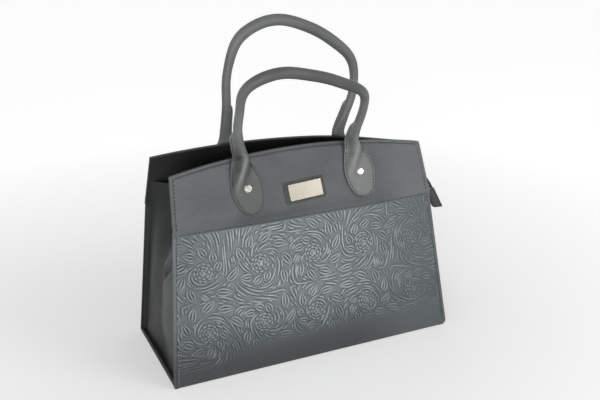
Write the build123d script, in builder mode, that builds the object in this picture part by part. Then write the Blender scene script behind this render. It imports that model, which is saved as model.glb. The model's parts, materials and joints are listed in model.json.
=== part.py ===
import os
from math import atan2, cos, degrees, radians, sin

from build123d import *

os.makedirs("parts", exist_ok=True)

# Bag body, outside sizes (mm)
base_width = 350.0
base_depth = 148.0
seam_height = 167.0
seam_width = 317.0
mouth_height = 228.0
mouth_width = 306.0
arch_rise = 14.0
corner_radius = 8.0
# How far each face stands from the centre plane, at the yoke seam and at the top corners
front_seam_reach = 49.0
front_mouth_reach = 28.0
back_seam_reach = 30.8
back_mouth_reach = 13.9
# The back swings forward towards its right end, where the mouth closes
mouth_skew_share = 0.2245

# Leather, board and cloth thicknesses
base_leather = 2.6
panel_leather = 2.8
yoke_leather = 2.0
gusset_leather = 1.8
board_thickness = 3.0
lining_cloth = 0.8
fit_gap = 0.2
overrun = 20.0

# Seams and folds
seam_lap = 11.0
flange_width = 5.5
gusset_rise = 31.0
left_fold = 40.0
right_fold = 56.0
fold_level_shares = (0.0, 0.3, 0.7, 1.0)
left_fold_shares = (0.05, 0.18, 0.24, 0.62, 1.0)
right_fold_shares = (0.04, 0.5, 0.8, 0.96, 1.0)
lining_margin = 19.5
lining_drop = 4.0
lining_start_share = 0.15
board_end_gap = 8.0
board_side_gap = 4.0

# Tooled scroll relief
relief_height = 0.9
scroll_columns = 5
scroll_pitch = 65.0
scroll_rows = 2
scroll_row_pitch = 70.0
scroll_centre = 90.0
scroll_inner = 12.0
scroll_outer = 27.0
scroll_leaves = 10
leaf_step = 37.0
leaf_lean = 50.0
leaf_blades = 3
blade_spread = 24.0
petal_count = 6
petal_ring = 6.2
petal_length = 8.5
leaf_lengths = (13.0, 17.0, 21.0)
filler_ring = 5.0
filler_count = 4
blade_outline_shares = ((0.28, 0.10), (0.66, 0.09))
relief_margin = 8.0
relief_low = 17.0

# Handle tabs and rivets
tab_spacing = 138.0
tab_low = 10.0
tab_height = 63.0
tab_width = 38.0
tab_leather = 2.6
tab_outline_shares = ((0.55, 0.07), (0.93, 0.33), (1.0, 0.56), (0.80, 0.83))
tab_neck_share = 0.5
rivet_up = 39.0
rivet_head = 4.9
rivet_dome = 2.2
rivet_edge = 1.6
rivet_post = 2.0
rivet_cap = 4.0
rivet_cap_depth = 1.2
slot_width = 1.0
slot_depth = 0.7

# Rolled handles
hinge_up = 75.5
hinge_out = 4.5
hinge_gap = 0.3
bead_radius = 2.4
bead_length = 20.0
handle_half_span = 67.0
handle_drop = 140.0
handle_radius = 5.8
handle_flange = 4.5
flange_thickness = 3.0
flange_start = 5.0
flange_length = 26.0
flange_round = 2.0
flange_outline_shares = ((0, 0.62), (0.3, 1), (0.82, 1), (1, 0.5))
throat_length = 40.0
throat_start_share = 0.5
throat_width_share = 0.95
throat_thickness = 1.9
throat_round_share = 0.97
front_tilt = 38.0
back_tilt = 3.0
front_route_shares = ((-1.27, 0.34), (-1.42, 0.84), (-0.90, 0.98), (-0.07, 0.85), (0.75, 0.64), (0.88, 0.43))
front_bend_shares = (0.55, 0.16, 0.26, 0.85, 0.17, 0.4)
back_route_shares = ((-1.01, 0.54), (-0.82, 0.87), (-0.18, 1.04), (0.60, 0.89), (1.19, 0.66), (1.22, 0.41))
back_bend_shares = (0.6, 0.25, 0.36, 0.7, 0.2, 0.43)

# Front patch and plate
patch_width = 49.0
patch_height = 24.0
patch_up = 27.5
patch_leather = 1.4
patch_corner = 2.0
plate_width = 40.0
plate_height = 18.5
plate_metal = 1.6
plate_corner = 1.2
plate_edge = 0.5

# Open zip
tape_start = -118.0
tape_turn = 40.0
tape_end = 84.0
tape_lap = 3.0
tape_width = 13.0
tape_cloth = 1.0
tail_y = -24.0
tail_rise = 8.0
tail_width = 10.0
tail_gap = 0.4
chain_margin = 6.0
chain_bead = 1.8
chain_depth = 2.4
tooth_pitch = 4.0
tooth_width = 2.0
tooth_reach = 1.4
tail_reach = 106.0
tail_fall = 73.0
tail_route_shares = ((0.23, 0.0), (0.64, 0.19), (0.81, 0.48))
tail_bend_shares = (0.5, 0.5, 0.9)
end_tab_length = 25.0
end_tab_width = 13.0
end_tab_leather = 1.3
slider_length = 12.0
slider_plate = 1.6
slider_gap = 0.4
slider_height = 12.0
bridge_radius = 0.9
bridge_stand = 2.6
bridge_length = 7.0
bridge_post = 1.2
pull_eye = 2.2
pull_length = 17.0
pull_width = 4.0
pull_metal = 1.4

front, back = -1, 1
left, right = -1, 1

# Heights that follow the yoke seam: gusset tops, linings, zip tapes and the zip's tail
gusset_height = seam_height + gusset_rise
lining_height = gusset_height - lining_drop
tape_top = lining_height + tape_lap
tail_height = gusset_height + tail_rise

# Half width of a panel at height z, following its tapering side edges
def half_width(z):
    if z <= seam_height:
        return (base_width + (seam_width - base_width) * z / seam_height) / 2
    over = (z - seam_height) / (mouth_height - seam_height)
    return (seam_width + (mouth_width - seam_width) * over) / 2


# Depth of a panel's outer face at x and height z
def face_y(side, x, z):
    seam, mouth, skew = front_seam_reach, front_mouth_reach, 0
    if side == back:
        seam, mouth, skew = back_seam_reach, back_mouth_reach, mouth_skew_share * x
    if z <= seam_height:
        skew *= seam_width / 2 / half_width(z)
        return side * (base_depth / 2 + (seam - skew - base_depth / 2) * z / seam_height)
    return side * (seam - skew + (mouth - seam) * (z - seam_height) / (mouth_height - seam_height))


# A layer of a wall between two depths from its outer face, ruled between the given heights
def sheet(side, levels, inner, outer, margin=0):
    with BuildPart() as layer:
        for z in levels:
            edge = half_width(z) - margin
            ring = [(-edge, outer), (edge, outer), (edge, inner), (-edge, inner)]
            with BuildSketch(Plane.XY.offset(z)):
                with BuildLine():
                    Polyline(*[(x, face_y(side, x, z) + side * out) for x, out in ring], close=True)
                make_face()
        loft(ruled=True)
    return layer.part


# Directions of a yoke: along its seam, and out of its face
def yoke_axes(side):
    if side == front:
        climb = (front_seam_reach - front_mouth_reach) / (mouth_height - seam_height)
        return Vector(1, 0, 0), Vector(0, -1, climb).normalized()
    climb = (back_seam_reach - back_mouth_reach) / (mouth_height - seam_height)
    return Vector(-1, mouth_skew_share, 0).normalized(), Vector(mouth_skew_share, 1, climb).normalized()


# Plane on the yoke's outer face, placed along the seam, up the slope and out of the face
def yoke_plane(side, along, up, out):
    seam, normal = yoke_axes(side)
    foot = Vector(0, face_y(side, 0, seam_height), seam_height)
    return Plane(foot + seam * along + normal.cross(seam) * up + normal * (yoke_leather + out), seam, normal)


# Depth along Y of the yoke leather, whose face leans
def yoke_depth(side):
    return yoke_leather / abs(yoke_axes(side)[1].Y)


# Inward fold of a gusset at height z
def fold_depth(hand, z):
    shares, fold = (left_fold_shares, left_fold) if hand == left else (right_fold_shares, right_fold)
    levels = [share * seam_height for share in fold_level_shares] + [gusset_height]
    for low, high, a, b in zip(levels, levels[1:], shares, shares[1:]):
        if z <= high:
            return fold * (a + (b - a) * (z - low) / (high - low))


# Plan of a gusset at height z: flange, wall, fold, wall, flange
def fold_path(hand, z):
    edge = half_width(z)
    wall = edge - flange_width
    inset = panel_leather + fit_gap
    front_y = face_y(front, 0, z) + inset
    wall_y, edge_y = (face_y(back, hand * x, z) - inset for x in (wall, edge))
    fold = (hand * (wall - fold_depth(hand, z)), (front_y + wall_y) / 2)
    return [(hand * edge, front_y), (hand * wall, front_y), fold, (hand * wall, wall_y), (hand * edge, edge_y)]


# A path parallel to another, mitred at its corners
def beside(path, distance):
    points = [Vector(*p) for p in path]
    runs = [(b - a).normalized() for a, b in zip(points, points[1:])]
    normals = [Vector(run.Y, -run.X) for run in runs]
    pairs = zip(points, normals[:1] + normals, normals + normals[-1:])
    return [p + (a + b) * (distance / (1 + a.dot(b))) for p, a, b in pairs]


# Closed strip between two paths beside one plan path
def strip(path, near, far):
    return beside(path, near) + beside(path, far)[::-1]


# The rounded lower corners of the panels and gussets
with BuildPart() as corner_outline:
    tall = mouth_height + arch_rise
    with BuildSketch(Plane.XZ):
        with Locations((0, base_leather + tall / 2)):
            RectangleRounded(base_width, tall, corner_radius)
    extrude(amount=base_depth, both=True)

# The arched top of the yokes and facings
with BuildPart() as arch_outline:
    with BuildSketch(Plane.XZ):
        with BuildLine():
            half = mouth_width / 2
            top = ThreePointArc((-half, mouth_height), (0, mouth_height + arch_rise), (half, mouth_height))
            Polyline(top @ 1, (base_width / 2, mouth_height), (base_width / 2, 0), (-base_width / 2, 0),
                     (-base_width / 2, mouth_height), top @ 0)
        make_face()
    extrude(amount=base_depth, both=True)

yoke_levels = (seam_height, mouth_height + arch_rise + overrun)
lap_top = seam_height + seam_lap
panel_levels = (0, seam_height, lap_top)

# One blade of the tooling, of unit length, pointed at both ends
with BuildSketch() as blade:
    with BuildLine():
        Polyline((0, 0), *blade_outline_shares, (1, 0))
        mirror(about=Plane.XZ)
    make_face()


# Places of a leaf's blades, which fan out from its foot
def leaf_fan(foot, turn):
    first = turn - (leaf_blades - 1) / 2 * blade_spread
    return [Location(foot, first + step * blade_spread) for step in range(leaf_blades)]


# Places of the blades, by length: scrolls that unwind, a flower in each, and fillers between them
blade_places = {length: [] for length in (petal_length,) + leaf_lengths}
for column in range(scroll_columns):
    for row in range(scroll_rows):
        hand = 1 if (column + row) % 2 else -1
        centre = Vector((column - (scroll_columns - 1) / 2) * scroll_pitch,
                        scroll_centre + (row - (scroll_rows - 1) / 2) * scroll_row_pitch)
        for petal in range(petal_count):
            turn = petal * 360 / petal_count
            blade_places[petal_length].append(
                Location(centre + Vector(petal_ring / 2, 0).rotate(Axis.Z, turn), turn))
        for step in range(scroll_leaves):
            share = step / (scroll_leaves - 1)
            turn = hand * (step * leaf_step + column * leaf_lean)
            foot = centre + Vector(scroll_inner + (scroll_outer - scroll_inner) * share, 0).rotate(Axis.Z, turn)
            size = leaf_lengths[int(share * (len(leaf_lengths) - 1) + 1 / 2)]
            blade_places[size].extend(leaf_fan(foot, turn + hand * leaf_lean))
        if column + 1 < scroll_columns:
            knot = centre + Vector(scroll_pitch / 2, (1 / 2 - row) * scroll_row_pitch)
            for side in range(filler_count):
                turn = (side + 1 / 2) * 360 / filler_count
                blade_places[leaf_lengths[0]].append(
                    Location(knot + Vector(filler_ring, 0).rotate(Axis.Z, turn), turn))

lower_lean = Vector(0, -seam_height, base_depth / 2 - front_seam_reach)
tooling_plane = Plane((0, -base_depth / 2, 0), (1, 0, 0), lower_lean.normalized())

with BuildPart() as front_panel:
    add(sheet(front, panel_levels, -panel_leather, 0))
    add(corner_outline.part, mode=Mode.INTERSECT)
    with BuildSketch(tooling_plane.offset(-panel_leather / 2)):
        for length, places in blade_places.items():
            stamp = scale(blade.sketch, length, mode=Mode.PRIVATE)
            with Locations(*places):
                add(stamp)
        with BuildLine():
            low, high = base_width / 2 - relief_margin, seam_width / 2 - relief_margin
            Polyline((-low, relief_low), (low, relief_low), (high, lower_lean.length - relief_margin),
                     (-high, lower_lean.length - relief_margin), close=True)
        make_face(mode=Mode.INTERSECT)
    extrude(amount=panel_leather / 2 + relief_height)

with BuildPart() as back_panel:
    add(sheet(back, panel_levels, -panel_leather, 0))
    add(corner_outline.part, mode=Mode.INTERSECT)


# Yoke of one side, with the holes of its rivets
def yoke(side, inner, outer, low):
    with BuildPart() as band:
        add(sheet(side, (low, yoke_levels[1]), inner, outer))
        add(arch_outline.part, mode=Mode.INTERSECT)
        with BuildSketch(yoke_plane(side, 0, rivet_up, overrun)):
            with GridLocations(tab_spacing, 0, 2, 1):
                Circle(rivet_post + fit_gap)
        extrude(amount=-2 * overrun, mode=Mode.SUBTRACT)
    return band.part


with BuildPart() as front_yoke:
    add(yoke(front, 0, yoke_depth(front), seam_height))

with BuildPart() as back_yoke:
    add(yoke(back, 0, yoke_depth(back), seam_height))

with BuildPart() as front_facing:
    add(yoke(front, -panel_leather, 0, lap_top))

with BuildPart() as back_facing:
    add(yoke(back, -panel_leather, 0, lap_top))


# Folded gusset of one end, with seam flanges behind the panels
def gusset(hand):
    levels = [share * seam_height for share in fold_level_shares] + [gusset_height]
    with BuildPart() as fold:
        for z in levels:
            with BuildSketch(Plane.XY.offset(z)):
                with BuildLine():
                    Polyline(*strip(fold_path(hand, z), 0, hand * gusset_leather), close=True)
                make_face()
        loft(ruled=True)
        add(corner_outline.part, mode=Mode.INTERSECT)
    return fold.part


with BuildPart() as left_gusset:
    add(gusset(left))

with BuildPart() as right_gusset:
    add(gusset(right))

# Base, board and linings
base_end = base_width / 2 - corner_radius
board_top = base_leather + board_thickness
floor_top = board_top + lining_cloth
board_half = base_width / 2 - flange_width - board_end_gap
board_depth = base_depth - 2 * (panel_leather + board_side_gap)

with BuildPart() as base_panel:
    with BuildSketch():
        Rectangle(2 * base_end, base_depth)
    extrude(amount=base_leather)

with BuildPart() as base_board:
    with BuildSketch(Plane.XY.offset(base_leather)):
        RectangleRounded(2 * board_half, board_depth, corner_radius)
    extrude(amount=board_thickness)

with BuildPart() as base_lining:
    with BuildSketch(Plane.XY.offset(board_top)):
        RectangleRounded(2 * board_half, board_depth, corner_radius)
    extrude(amount=lining_cloth)

lining_levels = (floor_top + fit_gap, seam_height, lining_height)
lining_face = -panel_leather - fit_gap

with BuildPart() as front_lining:
    add(sheet(front, lining_levels, lining_face - lining_cloth, lining_face, lining_margin))

with BuildPart() as back_lining:
    add(sheet(back, lining_levels, lining_face - lining_cloth, lining_face, lining_margin))


# Lining of a gusset, inside its fold
def fold_lining(hand):
    levels = [max(floor_top + fit_gap, share * seam_height) for share in fold_level_shares] + [lining_height]
    with BuildPart() as cloth:
        for z in levels:
            path = [Vector(*p) for p in fold_path(hand, z)[1:4]]
            path = [path[0] + (path[1] - path[0]) * lining_start_share, path[1],
                    path[2] + (path[1] - path[2]) * lining_start_share]
            with BuildSketch(Plane.XY.offset(z)):
                with BuildLine():
                    ring = strip([(p.X, p.Y) for p in path], -hand * fit_gap, -hand * (fit_gap + lining_cloth))
                    Polyline(*ring, close=True)
                make_face()
        loft(ruled=True)
    return cloth.part


with BuildPart() as left_lining:
    add(fold_lining(left))

with BuildPart() as right_lining:
    add(fold_lining(right))


# Line of a handle's necks, just out of the tabs' upper ends
def neck_plane(side, tilt):
    seam = yoke_axes(side)[0] * -side
    ahead = seam.cross(Vector(0, 0, 1))
    rise = Vector(0, 0, 1) * cos(radians(tilt)) + ahead * sin(radians(tilt))
    return Plane(yoke_plane(side, 0, hinge_up, hinge_out).origin, seam, seam.cross(rise))


# Leaf-shaped tab on a yoke: rounded foot, widest above its middle, drawn in to the handle's neck
def tab(side, along):
    with BuildPart() as pad:
        with BuildSketch(yoke_plane(side, along, tab_low, 0)):
            with BuildLine():
                half = tab_width / 2
                flank = [(0, 0)] + [(half * x, tab_height * y) for x, y in tab_outline_shares]
                side_edge = Spline(*flank, (half * tab_neck_share, tab_height), tangents=((1, 0), (-1, 2)))
                Line(side_edge @ 1, (0, tab_height))
                mirror(about=Plane.YZ)
            make_face()
        extrude(amount=tab_leather)
        with BuildSketch(yoke_plane(side, along, rivet_up, 0)):
            Circle(rivet_post + fit_gap)
        extrude(amount=tab_leather, mode=Mode.SUBTRACT)
    return pad.part


tab_half = tab_spacing / 2

with BuildPart() as front_left_tab:
    add(tab(front, -tab_half))

with BuildPart() as front_right_tab:
    add(tab(front, tab_half))

with BuildPart() as back_left_tab:
    add(tab(back, tab_half))

with BuildPart() as back_right_tab:
    add(tab(back, -tab_half))

# Slotted rivet: domed head, post and inner cap, turned about its axis
rivet_reach = tab_leather + yoke_leather + panel_leather + fit_gap

with BuildPart() as rivet:
    with BuildSketch(Plane.XZ):
        with BuildLine():
            shoulder = rivet_head - rivet_edge
            Polyline((0, rivet_dome), (shoulder, rivet_dome), (rivet_head, rivet_dome - rivet_edge),
                     (rivet_head, 0), (rivet_post, 0), (rivet_post, -rivet_reach), (rivet_cap, -rivet_reach),
                     (rivet_cap, -rivet_reach - rivet_cap_depth), (0, -rivet_reach - rivet_cap_depth), close=True)
        make_face()
        fillet(vertices().sort_by(Axis.Y)[-2:].sort_by(Axis.X)[-1], rivet_edge / 2)
    revolve(axis=Axis.Z)
    with BuildSketch(Plane.XY.offset(rivet_dome - slot_depth)):
        Rectangle(2 * rivet_head, slot_width)
    extrude(amount=rivet_dome, mode=Mode.SUBTRACT)

# One rivet through each tab, yoke and facing
with BuildPart() as handle_rivets:
    with Locations(*[yoke_plane(side, along, rivet_up, tab_leather).location
                     for side in (front, back) for along in (-tab_half, tab_half)]):
        add(rivet.part)


# Rolled handle: flat necks that draw in to a round, each with a stitched flange towards the mouth
def handle(side, tilt, route_shares, bend_shares):
    plane = neck_plane(side, tilt)
    points = [Vector(handle_half_span * x, handle_drop * y) for x, y in route_shares]
    feet = [Vector(-handle_half_span, 0), Vector(handle_half_span, 0)]
    legs = [(points[0] - feet[0]).normalized(), (points[-1] - feet[1]).normalized()]
    collars = [foot + leg * throat_length for foot, leg in zip(feet, legs)]
    radii = [share * handle_drop for share in bend_shares]
    with BuildPart() as roll:
        with BuildLine(plane) as route:
            FilletPolyline(*[(p.X, p.Y) for p in [collars[0]] + points + [collars[1]]], radius=radii)
        with BuildSketch(Plane(route.line @ 0, plane.x_dir, route.line % 0)):
            Circle(handle_radius)
        sweep(path=route.line)
        for foot, leg in zip(feet, legs):
            up = plane.x_dir * leg.X + plane.y_dir * leg.Y
            across = up.cross(plane.z_dir)
            root = plane.from_local_coords(foot)
            wide = bead_length / 2 * throat_width_share
            start = Plane(root + plane.y_dir * bead_radius * throat_start_share, plane.x_dir, plane.y_dir)
            end = Plane(root + up * throat_length, across, up)
            for spot, half, thick in ((start, wide, throat_thickness), (end, handle_radius, handle_radius)):
                with BuildSketch(spot):
                    RectangleRounded(2 * half, 2 * thick, thick * throat_round_share)
            loft(ruled=True)
            with BuildSketch(Plane(root + up * flange_start, up, across)):
                with BuildLine():
                    reach = side * (handle_radius + handle_flange)
                    rim = [(flange_length * x, reach * y) for x, y in flange_outline_shares]
                    Polyline((0, 0), *rim, (flange_length, 0), close=True)
                make_face()
                fillet([v for v in vertices() if abs(v.Y) > handle_radius / 2], flange_round)
            extrude(amount=flange_thickness / 2, both=True)
            with BuildSketch(Plane(root, plane.y_dir, plane.x_dir)):
                Circle(bead_radius)
            extrude(amount=bead_length / 2, both=True)
    return roll.part


with BuildPart() as front_handle:
    add(handle(front, front_tilt, front_route_shares, front_bend_shares))

with BuildPart() as back_handle:
    add(handle(back, back_tilt, back_route_shares, back_bend_shares))

# Stitched leather patch and its bare metal plate
with BuildPart() as plate_patch:
    with BuildSketch(yoke_plane(front, 0, patch_up, 0)):
        RectangleRounded(patch_width, patch_height, patch_corner)
    extrude(amount=patch_leather)

with BuildPart() as metal_plate:
    with BuildSketch(yoke_plane(front, 0, patch_up, patch_leather)):
        RectangleRounded(plate_width, plate_height, plate_corner)
    extrude(amount=plate_metal)
    chamfer(faces().sort_by(Axis(tooling_plane.origin, yoke_axes(front)[1]))[-1].edges(), plate_edge)

# Zip tapes: each hangs from its facing, then turns in to meet the other above the right gusset
tail_half = tape_cloth + fit_gap / 2


def tape_y(side, x):
    return face_y(side, x, tape_top) - side * (panel_leather + fit_gap)


def tape(side):
    meet = tail_y + side * tail_half
    stations = [(tape_start, tape_y(side, tape_start), tape_top - tape_width, tape_top),
                (tape_turn, tape_y(side, tape_turn), tape_top - tape_width, tape_top),
                (tape_end, meet, tail_height - tail_width / 2, tail_height + tail_width / 2)]
    with BuildPart() as cloth:
        for x, y, low, high in stations:
            with BuildSketch(Plane.YZ.offset(x)):
                with BuildLine():
                    Polyline((y, low), (y, high), (y - side * tape_cloth, high),
                             (y - side * tape_cloth, low), close=True)
                make_face()
        loft(ruled=True)
    return cloth.part


# Toothed chain along the lower edge of a tape
def chain(side):
    first, last = tape_start + chain_margin, tape_turn - chain_margin
    low = tape_top - tape_width
    count = int((last - first) / tooth_pitch)
    slant = degrees(atan2(tape_y(side, last) - tape_y(side, first), last - first))
    with BuildPart() as links:
        for x in (first, last):
            y = tape_y(side, x) - side * tape_cloth / 2
            with BuildSketch(Plane.YZ.offset(x)):
                with Locations((y, low - chain_depth / 2)):
                    Rectangle(chain_bead, chain_depth)
        loft(ruled=True)
        with BuildSketch(Plane.XY.offset(low - chain_depth / 2)):
            places = [first + (i + 1) * tooth_pitch for i in range(count - 1)]
            with Locations(*[Location((x, tape_y(side, x) - side * tape_cloth / 2), slant) for x in places]):
                Rectangle(tooth_width, chain_bead + tooth_reach)
        extrude(amount=-(chain_depth + tooth_reach) / 2)
    return links.part


with BuildPart() as front_zip_tape:
    add(tape(front))

with BuildPart() as back_zip_tape:
    add(tape(back))

with BuildPart() as front_zip_chain:
    add(chain(front))

with BuildPart() as back_zip_chain:
    add(chain(back))

# Joined tail of the zip, falling out over the right gusset, with a folded leather end
tail_plane = Plane((tape_end + tail_gap, tail_y, tail_height), (1, 0, 0), (0, -1, 0))
tail_points = [(0, 0)] + [(tail_reach * x, -tail_fall * y) for x, y in tail_route_shares]
tail_points.append((tail_reach, -tail_fall))

with BuildPart() as zip_tail:
    with BuildLine(tail_plane) as tail_route:
        FilletPolyline(*tail_points, radius=[share * tail_fall for share in tail_bend_shares])
    with BuildSketch(Plane(tail_route.line @ 0, (0, 1, 0), tail_route.line % 0)):
        Rectangle(2 * tail_half, tail_width)
    sweep(path=tail_route.line)

tip = tail_route.line @ 1
fall = tail_route.line % 1

with BuildPart() as zip_end_tab:
    with BuildSketch(Plane(tip - fall * end_tab_length, (0, 1, 0), fall)):
        Rectangle(2 * (tail_half + end_tab_leather), end_tab_width)
        Rectangle(2 * (tail_half + fit_gap), tail_width + fit_gap, mode=Mode.SUBTRACT)
    extrude(amount=end_tab_length + fit_gap)
    with BuildSketch(Plane(tip + fall * fit_gap, (0, 1, 0), fall)):
        Rectangle(2 * (tail_half + end_tab_leather), end_tab_width)
    extrude(amount=end_tab_leather)

# Slider: two plates over the tail's start, joined across its top, with a bridge for the pull
slider_near = tail_half + slider_gap
slider_foot = tape_end + tail_gap
slider_low = tail_height - tail_width / 2 - slider_gap
slider_face = tail_y - slider_near - slider_plate
bridge_x = slider_foot + slider_length / 2
bridge_z = tail_height
bridge_y = slider_face - bridge_stand

with BuildPart() as zip_slider:
    with BuildSketch(Plane.YZ.offset(slider_foot)):
        with Locations((tail_y, slider_low + slider_height / 2)):
            Rectangle(2 * (slider_near + slider_plate), slider_height)
        with Locations((tail_y, slider_low + (slider_height - slider_plate) / 2)):
            Rectangle(2 * slider_near, slider_height - slider_plate, mode=Mode.SUBTRACT)
    extrude(amount=slider_length)
    with BuildSketch(Plane.YZ.offset(bridge_x)):
        with Locations((bridge_y, bridge_z)):
            Circle(bridge_radius)
    extrude(amount=bridge_length / 2, both=True)
    with BuildSketch(Plane.XZ.offset(-slider_face)):
        with Locations((bridge_x, bridge_z)):
            with GridLocations(bridge_length - bridge_post, 0, 2, 1):
                Rectangle(bridge_post, 2 * bridge_radius)
    extrude(amount=bridge_stand)

with BuildPart() as zip_pull:
    with BuildSketch(Plane.YZ.offset(bridge_x)):
        with Locations((bridge_y, bridge_z)):
            Circle(pull_eye)
        with Locations((bridge_y, bridge_z - pull_length / 2)):
            Rectangle(pull_metal, pull_length)
        with Locations((bridge_y, bridge_z)):
            Circle(bridge_radius + hinge_gap, mode=Mode.SUBTRACT)
    extrude(amount=pull_width / 2, both=True)

nodes = {
    "front_panel": front_panel, "front_yoke": front_yoke, "front_facing": front_facing,
    "back_panel": back_panel, "back_yoke": back_yoke, "back_facing": back_facing,
    "left_gusset": left_gusset, "right_gusset": right_gusset,
    "base_panel": base_panel, "base_board": base_board, "base_lining": base_lining,
    "front_lining": front_lining, "back_lining": back_lining,
    "left_lining": left_lining, "right_lining": right_lining,
    "front_left_tab": front_left_tab, "front_right_tab": front_right_tab,
    "back_left_tab": back_left_tab, "back_right_tab": back_right_tab,
    "handle_rivets": handle_rivets, "front_handle": front_handle, "back_handle": back_handle,
    "plate_patch": plate_patch, "metal_plate": metal_plate,
    "front_zip_tape": front_zip_tape, "back_zip_tape": back_zip_tape,
    "front_zip_chain": front_zip_chain, "back_zip_chain": back_zip_chain,
    "zip_tail": zip_tail, "zip_end_tab": zip_end_tab, "zip_slider": zip_slider, "zip_pull": zip_pull,
}
for name, piece in nodes.items():
    piece.part.label = name
    export_step(piece.part, f"parts/{name}.step")
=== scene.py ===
import json
import math

import bpy
import numpy as np
from mathutils import Matrix, Vector


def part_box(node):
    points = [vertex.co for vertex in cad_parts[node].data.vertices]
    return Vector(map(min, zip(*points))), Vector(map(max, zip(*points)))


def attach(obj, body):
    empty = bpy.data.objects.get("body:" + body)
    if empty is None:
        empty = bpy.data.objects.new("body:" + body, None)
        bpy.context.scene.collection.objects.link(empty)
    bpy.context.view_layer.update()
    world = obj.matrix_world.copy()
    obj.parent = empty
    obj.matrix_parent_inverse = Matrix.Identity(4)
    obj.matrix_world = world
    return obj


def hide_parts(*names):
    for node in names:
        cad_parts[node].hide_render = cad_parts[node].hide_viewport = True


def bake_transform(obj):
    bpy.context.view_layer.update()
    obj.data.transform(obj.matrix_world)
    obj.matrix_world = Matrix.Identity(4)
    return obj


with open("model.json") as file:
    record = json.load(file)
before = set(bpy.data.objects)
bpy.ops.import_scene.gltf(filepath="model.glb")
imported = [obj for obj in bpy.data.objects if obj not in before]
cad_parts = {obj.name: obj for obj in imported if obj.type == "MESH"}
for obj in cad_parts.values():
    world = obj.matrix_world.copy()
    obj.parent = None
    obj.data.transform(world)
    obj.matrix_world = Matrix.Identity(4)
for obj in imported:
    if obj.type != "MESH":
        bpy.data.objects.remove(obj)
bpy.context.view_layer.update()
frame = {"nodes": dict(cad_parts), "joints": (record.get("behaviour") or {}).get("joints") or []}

scene = bpy.context.scene
scene.view_settings.view_transform = "Standard"
joints = {joint["name"]: joint for joint in frame["joints"]}
mm = 0.001
front, back, left, right = -1, 1, -1, 1
sideNames = {front: "front", back: "back"}
handNames = {left: "left", right: "right"}


# Camera of the photograph, in metres
photoCamera = {
    "place": (-0.37357, -0.85413, 0.50489),
    "ahead": (0.38591, 0.85764, -0.33989),
    "up": (0.15040, 0.30501, 0.94040),
    "lens": 50.578,
    "sensor": 36.0,
}


def makeCamera(spec):
    data = bpy.data.cameras.new("photoCamera")
    data.lens, data.sensor_width = spec["lens"], spec["sensor"]
    data.clip_start, data.clip_end = 0.01, 50
    camera = bpy.data.objects.new("photoCamera", data)
    scene.collection.objects.link(camera)
    ahead, up = Vector(spec["ahead"]).normalized(), Vector(spec["up"])
    side = ahead.cross(up).normalized()
    turn = Matrix((side, side.cross(ahead), -ahead)).transposed()
    camera.matrix_world = Matrix.Translation(spec["place"]) @ turn.to_4x4()
    scene.camera = camera


makeCamera(photoCamera)
print("camera placed")


# Body sizes in mm: the frame gives the main ones, the leather's own follow
def nodeBox(node):
    low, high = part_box(node)
    return np.array(low) / mm, np.array(high) / mm


yokeLow, yokeHigh = nodeBox("front_yoke")
baseHigh = nodeBox("base_panel")[1]
bag = {
    "seamHeight": yokeLow[2],
    "seamHalf": yokeHigh[0],
    "archTop": yokeHigh[2],
    "baseDepth": baseHigh[1],
    "baseEnd": baseHigh[0],
    "baseLeather": baseHigh[2],
    "gussetTop": nodeBox("left_gusset")[1][2],
    "corner": 8.0,
    "foot": 0.3,                              # the panels' lower edges
    "cornerRound": {left: 3.0, right: 8.0},   # the left lower corners are pressed sharp
    "archRise": 14.0,
    "mouthHalf": 153.0,
    "mouthDrop": (3.4, 30.0, 140.0),          # the back of the mouth is lower to the right
    "frontReach": (49.0, 28.0),               # at the seam and at the top corners
    "backReach": (30.8, 13.9),
    "skew": 0.2245,                           # the back swings in to the right
    "panelLeather": 2.8,
    "yokeLeather": 2.0,
    "gussetLeather": 1.8,
    "seamLap": 11.0,
    "flange": 5.5,
}
bag["baseHalf"] = bag["baseEnd"] + bag["corner"]
bag["mouthHeight"] = bag["archTop"] - bag["archRise"]


def unit(v):
    return np.asarray(v, float) / np.linalg.norm(v)


def unitRows(v):
    return v / np.linalg.norm(v, axis=1)[:, None]


def smooth(low, high, value):
    share = np.clip((value - low) / (high - low), 0, 1)
    return share * share * (3 - 2 * share)


# An amount that comes in between two places
def ramp(spec, value):
    amount, low, high = spec
    return amount * smooth(low, high, value)


# A soft ridge, 1 high where the value is at its place
def ridge(value, place, spread):
    return np.exp(-((value - place) / spread) ** 2)


# Half width of a panel at height z, with the rounded lower corners
def halfWidth(z, hand=left):
    seam, mouth = bag["seamHeight"], bag["mouthHeight"]
    lower = bag["baseHalf"] + (bag["seamHalf"] - bag["baseHalf"]) * z / seam
    upper = bag["seamHalf"] + (bag["mouthHalf"] - bag["seamHalf"]) * (z - seam) / (mouth - seam)
    radius = bag["cornerRound"][hand]
    drop = np.clip(bag["foot"] + radius - z, 0, radius)
    corner = bag["baseHalf"] - radius + np.sqrt(radius ** 2 - drop ** 2)
    return np.minimum(np.where(z <= seam, lower, upper), np.where(drop > 0, corner, bag["baseHalf"]))


# Depth of a panel's outer face, before the leather sags
def faceY(side, x, z):
    seam, mouth = bag[sideNames[side] + "Reach"]
    skew = 0 * x if side == front else bag["skew"] * x
    height, top = bag["seamHeight"], bag["mouthHeight"]
    narrow = bag["seamHalf"] / (bag["baseHalf"] + (bag["seamHalf"] - bag["baseHalf"]) * z / height)
    lower = bag["baseDepth"] + (seam - skew * narrow - bag["baseDepth"]) * z / height
    upper = seam - skew + (mouth - seam) * (z - height) / (top - height)
    return side * np.where(z <= height, lower, upper)


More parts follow.
